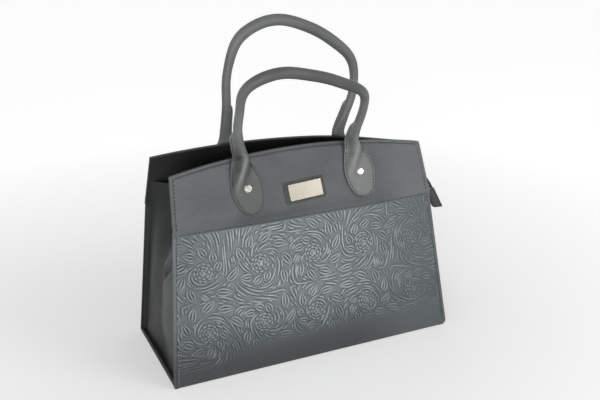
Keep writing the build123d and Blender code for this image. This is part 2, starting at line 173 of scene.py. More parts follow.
# Arched top edge of a yoke
def topHeight(side, x):
    half, rise = bag["mouthHalf"], bag["archRise"]
    radius = (half ** 2 + rise ** 2) / (2 * rise)
    arch = bag["archTop"] - radius + np.sqrt(radius ** 2 - np.minimum(np.abs(x), half) ** 2)
    return arch - (side == back) * ramp(bag["mouthDrop"], x)


# The filled bag bows out between its edges, most along the seam, and rolls under at its foot
sag = {"bow": 3.4, "start": 15.0, "full": 105.0, "fade": 12.0, "roll": 1.0, "ripple": 0.7}


def bow(x, z):
    across = np.clip(1 - (x / halfWidth(z)) ** 2, 0, 1)
    seam, roll = bag["seamHeight"], sag["roll"]
    climb = smooth(sag["start"], sag["full"], z) * (1 - smooth(seam, seam + sag["fade"], z))
    ripple = np.sin(x / 41 + 0.6) * np.sin(z / 29 + x / 90) + 0.6 * np.sin(x / 23 - z / 37 + 1.7)
    under = np.clip(bag["foot"] + roll - z, 0, roll)
    return climb * across * (sag["bow"] + ripple * sag["ripple"]) - roll + np.sqrt(roll ** 2 - under ** 2)


def bodyPoint(side, x, z, out):
    return np.stack([x, faceY(side, x, z) + side * (bow(x, z) + out), z], axis=-1)


# Lines: distance run along a row of points
def runPlaces(line):
    return np.concatenate([[0], np.cumsum(np.linalg.norm(np.diff(line, axis=0), axis=1))])


def columnsAt(at, places, values):
    return np.stack([np.interp(at, places, column) for column in values.T], axis=1)


def fromTable(table, at):
    return np.interp(at, *np.array(table).T)


def respace(line, step):
    places = runPlaces(line)
    even = np.linspace(0, places[-1], max(3, int(round(places[-1] / step)) + 1))
    return columnsAt(even, places, line), even


# Points along a bent line, evenly spaced, with its corners rounded
def rounded(path, count, spread, samples=400):
    places = runPlaces(path)
    line = columnsAt(np.linspace(0, places[-1], samples), places, path)
    reach = max(1, int(3 * spread / (places[-1] / (samples - 1))))
    weights = np.exp(-0.5 * (np.arange(-reach, reach + 1) * places[-1] / (samples - 1) / spread) ** 2)
    weights /= weights.sum()
    padded = np.concatenate([2 * line[0] - line[reach:0:-1], line, 2 * line[-1] - line[-2:-reach - 2:-1]])
    soft = np.stack([np.convolve(column, weights, "valid") for column in padded.T], axis=1)
    return columnsAt(np.linspace(0, samples - 1, count), np.arange(samples), soft)


# A flat route of straight runs with round bends
def bentRoute(points, radii, step):
    points = np.asarray(points, float)
    line = [points[0]]
    for before, corner, after, radius in zip(points, points[1:], points[2:], radii):
        inRun, outRun = unit(before - corner), unit(after - corner)
        half = math.acos(np.clip(inRun @ outRun, -1, 1)) / 2
        start, end = (corner + run * radius / math.tan(half) for run in (inRun, outRun))
        centre = corner + unit(inRun + outRun) * radius / math.sin(half)
        count = max(3, int(radius * (math.pi - 2 * half) / step))
        for share in np.linspace(0, 1, count):
            spoke = (start - centre) * (1 - share) + (end - centre) * share
            line.append(centre + unit(spoke) * radius)
    return np.array(line + [points[-1]])


# Smooth curve through a table, with slopes from its neighbours
def through(table, at):
    xs, ys = np.array(table, float).T
    slopes = np.gradient(ys, xs)
    k = np.clip(np.searchsorted(xs, at) - 1, 0, len(xs) - 2)
    run = xs[k + 1] - xs[k]
    t = (np.clip(at, xs[0], xs[-1]) - xs[k]) / run
    return ((1 + 2 * t) * (1 - t) ** 2 * ys[k] + t * (1 - t) ** 2 * run * slopes[k]
            + t * t * (3 - 2 * t) * ys[k + 1] + t * t * (t - 1) * run * slopes[k + 1])


# Meshes: points are in mm, pieces in metres
def addPiece(name, points, faces, material, smoothFaces=True):
    mesh = bpy.data.meshes.new(name)
    mesh.from_pydata((np.asarray(points, float).reshape(-1, 3) * mm).tolist(), [], faces)
    mesh.polygons.foreach_set("use_smooth", [smoothFaces] * len(mesh.polygons))
    mesh.materials.append(material)
    mesh.update()
    piece = bpy.data.objects.new(name, mesh)
    scene.collection.objects.link(piece)
    return piece


def gridFaces(rows, cols, wrap=False):
    faces = []
    for r in range(rows - 1):
        for c in range(cols if wrap else cols - 1):
            a, b = r * cols + c, r * cols + (c + 1) % cols
            faces.append((a, b, b + cols, a + cols))
    return faces


def tubeFaces(rows, cols):
    caps = [tuple(range(cols))[::-1], tuple(range((rows - 1) * cols, rows * cols))]
    return gridFaces(rows, cols, wrap=True) + caps


def gridPiece(name, points, material, flip=False):
    faces = gridFaces(*points.shape[:2])
    if flip:
        faces = [face[::-1] for face in faces]
    return addPiece(name, points, faces, material)


# Many small meshes as one
def joinMeshes(meshes):
    faces, count = [], 0
    for points, own in meshes:
        faces += [tuple(i + count for i in face) for face in own]
        count += len(points)
    return np.concatenate([points for points, _ in meshes]), faces


def roundedBox(width, height, corner, steps=6):
    points = []
    for sx, sy, first in ((1, 1, 0), (-1, 1, 90), (-1, -1, 180), (1, -1, 270)):
        for turn in np.radians(first + np.linspace(0, 90, steps)):
            points.append((sx * (width / 2 - corner) + corner * math.cos(turn),
                           sy * (height / 2 - corner) + corner * math.sin(turn)))
    return np.array(points)


# A flat pad with rounded rims: an outline in a plane, given half its thickness
def padMesh(outline, origin, ex, ey, half, rim):
    after = np.roll(outline, -1, axis=0)
    along = after - np.roll(outline, 1, axis=0)
    inward = unitRows(np.stack([-along[:, 1], along[:, 0]], axis=1))
    inward *= np.sign(np.sum(outline[:, 0] * after[:, 1] - outline[:, 1] * after[:, 0]))
    ez = np.cross(ex, ey)
    rings = []
    for turn in np.radians(np.linspace(-90, 90, 7)):
        flat = outline + inward * rim * (1 - math.cos(turn))
        rise = half - rim + rim * abs(math.sin(turn))
        rings.append(origin + flat[:, :1] * ex + flat[:, 1:] * ey + ez * rise * np.sign(turn + 1e-9))
    return np.concatenate(rings), tubeFaces(len(rings), len(outline))


def thicken(piece, thickness, edge, offset=-1.0):
    shell = piece.modifiers.new("leather", "SOLIDIFY")
    shell.thickness, shell.offset = thickness * mm, offset
    rim = piece.modifiers.new("rim", "BEVEL")
    rim.width, rim.segments, rim.limit_method = edge * mm, 3, "ANGLE"
    rim.angle_limit = math.radians(50)
    return piece


# Stores one value per point as an attribute: the painted light and shade, or the relief
def paintPointValues(piece, values, name="wear"):
    shade = piece.data.attributes.new(name, "FLOAT", "POINT")
    shade.data.foreach_set("value", np.clip(values, 0, 1).astype(np.float32).ravel())


def settle(piece, slotName, *nodes):
    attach(piece, "bag")
    if nodes:
        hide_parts(*nodes)
    return piece


# Materials
def fromHex(code):
    parts = [int(code[i:i + 2], 16) / 255 for i in (1, 3, 5)]
    return [p / 12.92 if p <= 0.04045 else ((p + 0.055) / 1.055) ** 2.4 for p in parts] + [1.0]


def linkUp(tree, node, links):
    for socket, source in links:
        tree.links.new(source, node.inputs[socket])


def addNode(tree, kind, links=(), **settings):
    node = tree.nodes.new("ShaderNode" + kind)
    for key, value in settings.items():
        socket = key.replace("_", " ")
        if socket in node.inputs:
            node.inputs[socket].default_value = value
        else:
            setattr(node, key, value)
    linkUp(tree, node, links)
    return node


def newMaterial(name, code=None, **sockets):
    material = bpy.data.materials.new(name)
    material.use_nodes = True
    shader = material.node_tree.nodes["Principled BSDF"]
    if code:
        shader.inputs["Base Color"].default_value = fromHex(code)
    for socket, value in sockets.items():
        shader.inputs[socket.replace("_", " ")].default_value = value
    return material, material.node_tree, shader


# Tint from dark to pale by a value; with a second pair of tints, the painted light attribute leads from the
# first to that, so the second pair paints light and shade
def rampedTint(tree, value, stops, tintPairs):
    tints = []
    for tintPair in tintPairs:
        ramp = addNode(tree, "ValToRGB", [("Fac", value)])
        for element, at, code in zip(ramp.color_ramp.elements, stops, tintPair):
            element.position, element.color = at, fromHex(code)
        tints.append(ramp.outputs["Color"])
    if len(tints) == 1:
        return tints[0]
    wear = addNode(tree, "Attribute", attribute_name="wear").outputs["Fac"]
    return addNode(tree, "Mix", zip((0, 6, 7), (wear, *tints)), data_type="RGBA").outputs[2]


# Full-grain cowhide, dyed charcoal and plated with a pebble grain: satin, with soft grey lights in the grain,
# and a paler grey painted as light where the painted light attribute is high
def pebbledLeather(name, tintPairs, pebble, depth, shine=0.5):
    material, tree, shader = newMaterial(name, Specular_IOR_Level=shine)
    place = addNode(tree, "TexCoord").outputs["Object"]
    cells = addNode(tree, "TexVoronoi", [("Vector", place)], feature="SMOOTH_F1",
                    Scale=1 / (pebble * mm), Smoothness=0.6).outputs["Distance"]
    cloud = addNode(tree, "TexNoise", [("Vector", place)], Scale=1 / (35 * mm), Detail=4.0)
    gloss = addNode(tree, "MapRange", [("Value", cells)], To_Min=0.38, To_Max=0.56)
    grain = addNode(tree, "Bump", [("Height", cells)],
                    invert=True, Strength=0.8, Distance=depth * mm)
    linkUp(tree, shader, [("Base Color", rampedTint(tree, cloud.outputs["Fac"], (0.32, 0.72), tintPairs)),
                          ("Roughness", gloss.outputs["Result"]), ("Normal", grain.outputs["Normal"])])
    return material


# The second pair here is painted light on the yokes
grainLeather = pebbledLeather("pebbledCowhide", [("#3a3e3f", "#484c4d"), ("#4e5253", "#5c6061")], 1.9, 0.5)
trimLeather = pebbledLeather("trimCowhide", [("#3a3c3b", "#484a49")], 1.5, 0.22, 0.35)
# Handles: the dark pair is painted shade and the pale pair painted light
handleLeather = pebbledLeather("rolledCowhide", [("#2d2f2e", "#383a39"), ("#707372", "#7d807f")],
                               1.5, 0.22, 0.35)
# A darker copy of the charcoal leather, painted shade on the gussets, base and piping; its paler pair is
# painted light on the left gusset's front
gussetLeather = pebbledLeather("shadedSoftCowhide", [("#1d1f1f", "#272929"), ("#444747", "#4f5252")],
                               1.6, 0.22, 0.2)
facingLeather = pebbledLeather("facingCowhide", [("#161717", "#1c1d1d")], 1.6, 0.15, 0.3)


# Tooled cowhide: the relief is painted, pale on the raised scrolls as a painted highlight over dark cuts as
# painted shade, and a painted sheen leaves the middle paler than the edges
def tooledLeather(name, tintPairs):
    material, tree, shader = newMaterial(name)
    height = addNode(tree, "Attribute", attribute_name="relief").outputs["Fac"]
    gloss = addNode(tree, "MapRange", [("Value", height)], To_Min=0.52, To_Max=0.31)
    place = addNode(tree, "TexCoord").outputs["Object"]
    cells = addNode(tree, "TexNoise", [("Vector", place)], Scale=1 / (1.1 * mm), Detail=2.0)
    grain = addNode(tree, "Bump", [("Height", cells.outputs["Fac"])],
                    Strength=0.35, Distance=0.12 * mm)
    linkUp(tree, shader, [("Base Color", rampedTint(tree, height, (0.22, 0.92), tintPairs)),
                          ("Roughness", gloss.outputs["Result"]), ("Normal", grain.outputs["Normal"])])
    return material


# Dark to pale by relief: painted shade in the cuts, painted highlight on the scrolls; the second pair is
# lifted by the painted sheen
toolingLeather = tooledLeather("tooledCowhide", [("#171a1b", "#3c4142"), ("#2d3233", "#939d9f")])


# Waxed polyester thread with a dull shine, darker than the leather in the seams and close to it at the mouth
seamThread = newMaterial("waxedThread", "#1d1f20", Roughness=0.5)[0]
edgeThread = newMaterial("waxedEdgeThread", "#393c3d", Roughness=0.5)[0]


# Plain-woven cotton, dyed black: matt, with a fine weave
def wovenCloth(name, code, thread):
    material, tree, shader = newMaterial(name, code, Roughness=0.9, Sheen_Weight=0.15)
    place = addNode(tree, "TexCoord").outputs["Object"]
    waves = [addNode(tree, "TexWave", [("Vector", place)], bands_direction=axis,
                     Scale=math.pi / 10 / (thread * mm)).outputs["Fac"] for axis in ("X", "Z")]
    weave = addNode(tree, "Math", enumerate(waves), operation="MULTIPLY")
    bump = addNode(tree, "Bump", [("Height", weave.outputs[0])], Strength=0.5, Distance=0.2 * mm)
    linkUp(tree, shader, [("Normal", bump.outputs["Normal"])])
    return material


liningCloth = wovenCloth("cottonLining", "#141515", 1.2)
zipCloth = wovenCloth("zipTape", "#181919", 1.0)


# Nickel plate on pressed steel: bright, with a faint haze from handling
def platedMetal(name, code, rough, haze=3.0):
    material, tree, shader = newMaterial(name, code, Metallic=1.0)
    place = addNode(tree, "TexCoord").outputs["Object"]
    cloud = addNode(tree, "TexNoise", [("Vector", place)], Scale=1 / (haze * mm), Detail=3.0)
    gloss = addNode(tree, "MapRange", [("Value", cloud.outputs["Fac"])],
                    To_Min=rough[0], To_Max=rough[1])
    linkUp(tree, shader, [("Roughness", gloss.outputs["Result"])])
    return material


nickel = platedMetal("nickelPlate", "#bbb9b3", (0.14, 0.3))
plateMetal = platedMetal("satinNickel", "#a19c90", (0.24, 0.3), 14.0)
zipMetal = platedMetal("gunmetal", "#77777a", (0.25, 0.45))

# Pressed fibreboard under the lining: a dull grey-brown
boardMaterial = newMaterial("fibreboard", "#5b564f", Roughness=0.9)[0]
print("materials made")


# Tooled relief: rosettes among veined leaves and long scroll strokes, in mm on the panel's slope
tooling = {
    "columns": 5, "rows": 2, "pitch": 65.0, "rowPitch": 70.0, "centre": 90.0, "flower": 11.5,
    "rosette": ((0.6, 1, 0.0), (3.0, 5, 0.5), (6.2, 8, 0.0), (9.6, 11, 0.5)),   # reach, petals, turn
    "petal": 0.74, "petalBend": 1.1,
    "inner": 12.0, "outer": 27.0, "leaves": 10, "step": 37.0, "lean": 50.0,
    "leafLength": (14.0, 22.0), "leafHalf": 3.6, "leafLeast": 9, "leafTurn": 0.05,
    "spiral": (8.0, 1.3), "spiralLimits": (5.0, 50.0), "swirlReach": 36.0,   # degrees, and per mm
    "strokes": ((20, 48), (7, 18)), "strokeGap": 2.5, "half": 0.9,
    "cell": 0.5, "seedGap": 2.0, "jitter": 0.8, "seed": 11,
    "height": 1.25, "edge": 5.0, "cutAt": 1.45, "cutWidth": 0.5, "cut": 0.6,
}


def heading(turn):
    return np.array([math.cos(turn), math.sin(turn)])


# Column, hand and centre of each flower
def flowerPlaces(spec):
    column, row = (spec["columns"] - 1) / 2, (spec["rows"] - 1) / 2
    return [(c, 1 if (c + r) % 2 else -1,
             np.array([(c - column) * spec["pitch"], spec["centre"] + (r - row) * spec["rowPitch"]]))
            for c in range(spec["columns"]) for r in range(spec["rows"])]


# The way the strokes run: round each flower and out, with a slow wander
def strokeFlow(spec, centres, hands, at):
    away = at - centres
    reach = np.linalg.norm(away, axis=1) + 0.01
    start, slope = spec["spiral"]
    lean = np.radians(np.clip(start + (reach - spec["flower"]) * slope, *spec["spiralLimits"]))
    ring = np.stack([-away[:, 1], away[:, 0]], axis=1) * hands[:, None] / reach[:, None]
    flow = ring * np.cos(lean)[:, None] + away / reach[:, None] * np.sin(lean)[:, None]
    flow = (flow * ridge(reach, 0, spec["swirlReach"])[:, None]).sum(axis=0)
    wander = 0.35 * math.sin(at[0] / 17 + at[1] / 23) + 0.3 * math.sin(at[1] / 11 - at[0] / 31)
    return heading(math.atan2(flow[1], flow[0]) + wander)


def traceStrokes(spec):
    random = np.random.default_rng(spec["seed"])
    places = flowerPlaces(spec)
    centres, hands = np.array([p[2] for p in places]), np.array([p[1] for p in places])
    width, high, cell = 2 * bag["baseHalf"], bag["seamHeight"] + 10, spec["cell"]
    taken = np.zeros((int(high / cell), int(width / cell)), bool)
    ys, xs = np.mgrid[0:taken.shape[0], 0:taken.shape[1]] * cell

    def claim(at, radius):
        first = max(0, int((at[0] - radius + width / 2) / cell))
        low = max(0, int((at[1] - radius) / cell))
        wide = int(2 * radius / cell) + 2
        part = (slice(low, low + wide), slice(first, first + wide))
        taken[part] |= (xs[part] - width / 2 - at[0]) ** 2 + (ys[part] - at[1]) ** 2 < radius ** 2

    def free(at):
        r, c = int(at[1] / cell), int((at[0] + width / 2) / cell)
        return 0 <= r < taken.shape[0] and 0 <= c < taken.shape[1] and not taken[r, c]

    strokes = []
    for centre in centres:
        for reach, count, turn in spec["rosette"]:
            for petal in range(count):
                share = np.linspace(-1, 1, 9)
                angle = (petal + turn + share * spec["petal"] / 2) * 2 * math.pi / count
                bend = reach + 0.5 - spec["petalBend"] * share ** 2 * (count > 1)
                strokes.append(centre + bend[:, None] * np.stack([np.cos(angle), np.sin(angle)], axis=1))
        claim(centre, spec["flower"])
    for column, hand, centre in places:   # leaves stand where the solid panel has its fans
        for step in range(spec["leaves"]):
            turn = hand * (step * spec["step"] + column * spec["lean"])
            share = step / (spec["leaves"] - 1)
            reach = spec["inner"] + (spec["outer"] - spec["inner"]) * share + 1.5
            at = centre + reach * heading(math.radians(turn))
            aim = heading(math.radians(turn + hand * spec["lean"]))
            size, vein, normals = np.interp(share, (0, 1), spec["leafLength"]), [], []
            while len(vein) < size and free(at):
                vein.append(at)
                normals.append((-aim[1], aim[0]))
                aim = unit(aim + spec["leafTurn"] * strokeFlow(spec, centres, hands, at))
                at = at + aim
            if len(vein) < spec["leafLeast"]:
                continue
            vein, normals = np.array(vein), np.array(normals)
            swell = np.sin(math.pi * np.linspace(0, 1, len(vein)) ** 0.75) ** 0.9
            swell = spec["leafHalf"] * len(vein) / size * swell
            strokes.append(vein[2:-3])
            strokes += [vein + way * swell[:, None] * normals for way in (-1, 1)]
            for at, half in zip(vein, swell):
                claim(at, half + spec["strokeGap"] * 0.7)
    gap, jitter = spec["seedGap"], spec["jitter"]
    seeds = np.meshgrid(np.arange(-width / 2, width / 2, gap), np.arange(4, high, gap))
    seeds = np.stack(seeds, axis=-1).reshape(-1, 2)
    for sizes in spec["strokes"]:
        for seed in random.permutation(seeds):
            at, line = seed + random.uniform(-jitter, jitter, 2), []
            size = random.uniform(*sizes)
            while len(line) < size and free(at):
                line.append(at)
                at = at + strokeFlow(spec, centres, hands, at)
            if len(line) >= sizes[0]:
                strokes.append(np.array(line))
                for at in line:
                    claim(at, spec["strokeGap"])
    return strokes


def reliefMap(spec, x, s, margin=3.0):
    raised, cut = np.zeros_like(x), np.zeros_like(x)
    across, up = x[len(x) // 2], s[:, 0]
    for line in traceStrokes(spec):
        low, high = line.min(axis=0) - margin, line.max(axis=0) + margin
        rows = np.nonzero((up > low[1]) & (up < high[1]))[0]
        cols = np.nonzero((across > low[0] - 4) & (across < high[0] + 4))[0]
        if not len(rows) or not len(cols):
            continue
        part = (slice(rows[0], rows[-1] + 1), slice(cols[0], cols[-1] + 1))
        gap = np.hypot(x[part][..., None] - line[:, 0], s[part][..., None] - line[:, 1])
        share = gap.argmin(axis=-1) / (len(line) - 1)
        off = gap.min(axis=-1) / (spec["half"] * (0.55 + 0.6 * np.sin(np.pi * share ** 0.8) ** 0.7))
        crown = np.sqrt(np.clip(1 - off * off, 0, 1)) * (0.7 + 0.3 * np.sin(np.pi * share))
        raised[part] = np.maximum(raised[part], crown)
        cut[part] = np.maximum(cut[part], ridge(off, spec["cutAt"], spec["cutWidth"]))
    return raised - spec["cut"] * cut * (1 - raised)


# Panels, from the floor to just behind the yokes
panel = {
    "grid": (218, 440, 4.0), "backGrid": (60, 110, 5.0),   # rows, columns and lap
    "dieOut": 13.0, "dieLift": (15.0, -150.0, -50.0),      # the tooling dies out lower down on the left
    "fadeUp": (-5.0, 14.0), "rightFade": (0.45, 40.0, 165.0),
    "hem": (0.45, 4.5, 2.5), "groove": 0.8, "grooveAt": 4.2, "grooveWide": 0.8,
    # Painted sheen: paler up the middle of the panel, darker towards its foot and both sides, most to the
    # right, and paler again at the lower right corner
    "paintedLightUp": (8.0, 85.0), "paintedLightRight": (0.6, 20.0, 165.0), "paintedLightLeft": (0.4, 70.0, 170.0),
    "cornerPaintedLight": (0.28, 40.0, 130.0), "cornerUp": (15.0, 70.0),
}


def panelGrid(rows, cols, lap):
    z = np.repeat(np.linspace(bag["foot"], bag["seamHeight"] + lap, rows)[:, None], cols, axis=1)
    share = np.linspace(-1, 1, cols)[None, :]
    half = np.where(share < 0, halfWidth(z, left), halfWidth(z, right))
    return share * half, z, half


def withSides(sides, middle):
    return np.concatenate([sides[:, :1], middle, sides[:, -1:]], axis=1)


def makeFrontPanel():
    x, z, half = panelGrid(*panel["grid"])
    seam = bag["seamHeight"]
    slope = math.hypot(seam, bag["baseDepth"] - bag["frontReach"][0]) / seam
    s, top, edge = z * slope, seam * slope, half - np.abs(x)
    low = panel["dieOut"] + ramp(panel["dieLift"], x)
    fade = smooth(tooling["edge"] - 2, tooling["edge"], edge) * smooth(*panel["fadeUp"], s - low)
    fade *= (1 - smooth(top - 3, top - 1, s)) * (1 - ramp(panel["rightFade"], x))
    relief = reliefMap(tooling, x, s) * fade
    seamDip = ramp(panel["hem"], edge) - panel["groove"] * ridge(edge, panel["grooveAt"], panel["grooveWide"])
    points = bodyPoint(front, x, z, relief * tooling["height"] + seamDip)
    turnIn = bodyPoint(front, x, z, -bag["panelLeather"])
    piece = gridPiece("tooledFrontPanel", withSides(turnIn, points), toolingLeather)
    # Painted sheen over the panel
    wear = (1 - ramp(panel["paintedLightRight"], x)) * (1 - ramp(panel["paintedLightLeft"], -x)) * smooth(*panel["paintedLightUp"], s)
    wear += ramp(panel["cornerPaintedLight"], x) * (1 - smooth(*panel["cornerUp"], s))
    # The relief also paints highlight on the scrolls and shade in the cuts
    paintPointValues(piece, 0.5 + withSides(0 * relief, relief) * 0.5, "relief")
    paintPointValues(piece, withSides(wear, wear))
    return settle(piece, "tooled_leather", "front_panel")


def makeBackPanel():
    x, z, _ = panelGrid(*panel["backGrid"])
    piece = gridPiece("backPanel", bodyPoint(back, x, z, 0), grainLeather, flip=True)
    return settle(thicken(piece, bag["panelLeather"], 0.8), "leather", "back_panel")


makeFrontPanel()
makeBackPanel()
print("panels made")


# Yokes and their inner facings, up to the arched mouth
yoke = {"band": 3.2, "bandRise": 0.5, "groove": 0.4, "roll": 0.4, "crease": 0.35, "foot": 0.5, "ripple": 0.35,
        # The yoke's painted light towards its right and left ends
        "paintedLightRight": (0.6, 80.0, 135.0), "paintedLightLeft": (0.35, 70.0, 130.0)}


# Places along an edge-to-edge run, closer together near both edges
def edgeShares(length, step, fine=6.0):
    near = np.arange(0, fine, 0.55)
    middle = np.linspace(fine, length - fine, int(length / step))
    return np.concatenate([near, middle, length - near[::-1]]) / length


def yokeGrid(side, low, step):
    u = edgeShares(2 * bag["mouthHalf"], step)[None, :] * 2 - 1
    share = edgeShares(bag["archTop"] - low, step)[:, None]
    z = np.full((share.shape[0], u.shape[1]), low)
    for _ in range(6):   # the arch lowers the top row, and the width follows the height
        x = u * halfWidth(z)
        z = low + (topHeight(side, x) - low) * share
    return x, z


def makeYoke(side):
    low, band = bag["seamHeight"], yoke["band"]
    x, z = yokeGrid(side, low, 2.4)
    rim = np.minimum(halfWidth(z) - np.abs(x), topHeight(side, x) - z)
    shape = yoke["bandRise"] * (1 - smooth(band - 0.6, band, rim))
    shape -= yoke["groove"] * ridge(rim, band + 0.3, 0.6)
    shape += yoke["roll"] * ridge(rim, band + 2.4, 1.3)
    shape -= yoke["crease"] * ridge(z, low + sag["fade"] + 1, 1.5)
    shape -= yoke["foot"] * ridge(z, low, 0.8)
    shape += yoke["ripple"] * np.sin(x / 37 + 0.4) * np.sin(z / 19)
    lean = math.hypot(1, (bag["frontReach"][0] - bag["frontReach"][1]) / (bag["mouthHeight"] - low))
    points = bodyPoint(side, x, z, (bag["yokeLeather"] + shape) * lean)
    piece = gridPiece(sideNames[side] + "Yoke", points, grainLeather, flip=side == back)
    # Painted light: the yoke paler towards both ends, more to the right
    paintPointValues(piece, ramp(yoke["paintedLightRight"], x) + ramp(yoke["paintedLightLeft"], -x))
    return settle(thicken(piece, bag["yokeLeather"], 0.6), "leather", sideNames[side] + "_yoke")


def makeFacing(side):
    x, z = yokeGrid(side, bag["seamHeight"] + bag["seamLap"], 4.0)
    points = bodyPoint(side, x, z, -0.1)
    piece = gridPiece(sideNames[side] + "Facing", points, facingLeather, flip=side == back)
    return settle(thicken(piece, bag["panelLeather"] - 0.1, 0.8), "leather", sideNames[side] + "_facing")


for side in (front, back):
    makeYoke(side)
    makeFacing(side)
print("yokes made")


# Folded gussets, sewn to the panels by their flanges: shares run from the front seam to the back one
gusset = {
    "levels": (0.0, 0.3, 0.7, 1.0),
    left: {"fold": 40.0, "shares": (0.05, 0.18, 0.24, 0.62, 1.0)},
    right: {"fold": 56.0, "shares": (0.04, 0.5, 0.8, 0.96, 1.0)},
    "rows": 90, "cols": 120, "round": 2.6, "fitGap": 0.2, "bow": 2.4, "ripple": 0.7,
    "crest": 8.5, "crestAt": 0.4, "crestSpan": (0.33, 0.5),          # the lower wall stands out
    "standFrom": (8.0, 60.0), "standTo": (105.0, 165.0),
    # The first two: painted light on the left gusset's front part
    "paintedFrontLight": (0.9, 0.02, 0.07), "paintedFrontLightTo": (0.36, 0.42), "pocketFrom": (0.07, 0.14), "pocketTo": (0.3, 0.45),
    "pocket": 2.2, "pocketTop": 150.0, "pocketFall": 110.0, "pocketWide": 7.0,   # slanting fold, left
}


def foldPath(hand, z):
    levels = [share * bag["seamHeight"] for share in gusset["levels"]] + [bag["gussetTop"]]
    fold = gusset[hand]["fold"] * np.interp(z, levels, gusset[hand]["shares"])
    edge = float(halfWidth(np.array(z), hand))
    wall = edge - bag["flange"]
    inset = bag["panelLeather"] + gusset["fitGap"]
    frontY = float(faceY(front, np.array(0.0), np.array(z))) + inset
    wallY, edgeY = (float(faceY(back, np.array(hand * x), np.array(z))) - inset for x in (wall, edge))
    middle = (hand * (wall - fold), (frontY + wallY) / 2)
    return np.array([(hand * edge, frontY), (hand * wall, frontY), middle,
                     (hand * wall, wallY), (hand * edge, edgeY)])


def makeGusset(hand):
    rows, paintedFrontLight = [], []
    share = np.linspace(0, 1, gusset["cols"])
    wall = np.sin(2 * np.pi * np.clip(share, 0.06, 0.94)) ** 2   # none at the seams and the fold
    reach = np.where(share < gusset["crestAt"], *gusset["crestSpan"])
    crest = np.clip(1 - np.abs(share - gusset["crestAt"]) / reach, 0, 1) ** 1.1
    # Painted light: the left gusset paler along its front part, where the lower wall stands out
    paintedPaleFront = (hand == left) * ramp(gusset["paintedFrontLight"], share) * (1 - smooth(*gusset["paintedFrontLightTo"], share))
    near = (hand == left) * smooth(*gusset["pocketFrom"], share) * (1 - smooth(*gusset["pocketTo"], share))
    for z in np.linspace(bag["baseLeather"], bag["gussetTop"], gusset["rows"]):
        line = rounded(foldPath(hand, z), gusset["cols"], gusset["round"])
        tangent = np.gradient(line, axis=0)
        out = unitRows(np.stack([tangent[:, 1], -tangent[:, 0]], axis=1) * hand)
        swell = gusset["bow"] * wall * math.sin(math.pi * min(z / bag["gussetTop"], 1)) ** 0.7
        swell += gusset["ripple"] * wall * np.sin(z / 13 + share * 9) * np.sin(z / 37)
        stand = float(smooth(*gusset["standFrom"], z) * (1 - smooth(*gusset["standTo"], z)))
        swell += gusset["crest"] * crest * stand
        paintedFrontLight.append(paintedPaleFront * stand)
        pocket = (z - gusset["pocketTop"] + gusset["pocketFall"] * share) / gusset["pocketWide"]
        swell += near * (gusset["pocket"] * ridge(np.abs(pocket), 1.6, 1.1) - swell * ridge(pocket, 0, 1))
        rows.append(np.column_stack([line + out * swell[:, None], np.full(len(line), z)]))
    piece = gridPiece(handNames[hand] + "Gusset", np.array(rows), gussetLeather, flip=hand == right)
    paintPointValues(piece, np.array(paintedFrontLight))
    return settle(thicken(piece, bag["gussetLeather"], 0.5, 1.0), "leather", handNames[hand] + "_gusset")


for hand in (left, right):
    makeGusset(hand)
print("gussets made")


# Base leather, tucked in under the rolled lower edges
def makeBase():
    across = edgeShares(2 * bag["baseEnd"], 6.0)[None, :] * 2 - 1
    along = edgeShares(2 * bag["baseDepth"], 6.0)[:, None] * 2 - 1
    x = across * (bag["baseEnd"] + 2) + 0 * along
    y = along * (bag["baseDepth"] - sag["roll"] - 1.0) + 0 * across
    z = bag["baseLeather"] + 0.2 * np.sin(x / 31) * np.sin(y / 17)
    piece = gridPiece("baseLeather", np.stack([x, y, z], axis=-1), gussetLeather)
    return settle(thicken(piece, bag["baseLeather"] - 0.2, 1.0), "leather", "base_panel")


makeBase()


# Piped lower edge at each end, a leather-covered cord sewn in between gusset and base
piping = {"radius": 2.5, "out": {left: 5.0, right: 2.6}, "up": 3.0, "sides": 16, "tuck": 3.0, "tuckIn": 1.5}


def makePiping(hand):
    reach, tuck = bag["baseDepth"] - sag["roll"] - 0.5, piping["tuck"]
    y = np.linspace(-reach, reach, 60)
    dip = np.maximum(0, np.abs(y) - reach + tuck) ** 2 / tuck ** 2      # its ends run in behind the panels
    x = hand * (bag["baseEnd"] + piping["out"][hand] - piping["tuckIn"] * dip)
    spine = np.stack([x, y, piping["up"] + 0 * y], axis=1)
    turn = np.arange(piping["sides"]) * 2 * math.pi / piping["sides"]
    ring = piping["radius"] * np.stack([np.cos(turn), 0 * turn, np.sin(turn)], axis=1)
    faces = tubeFaces(len(y), len(turn))
    settle(addPiece(handNames[hand] + "Piping", spine[:, None] + ring[None], faces, gussetLeather), "leather")


for hand in (left, right):
    makePiping(hand)


# Linings, each a cut of cloth that hangs inside its wall
lining = {"margin": 19.5, "drop": 4.0, "cloth": 0.8, "start": 0.15, "floor": 6.6,
          "ripple": 0.8, "baseRipple": 0.3}


def hangCloth(name, points, flip=False, **held):
    piece = gridPiece(name + "Lining", points, liningCloth, flip=flip)
    return settle(piece, "lining_cloth", name + "_lining")


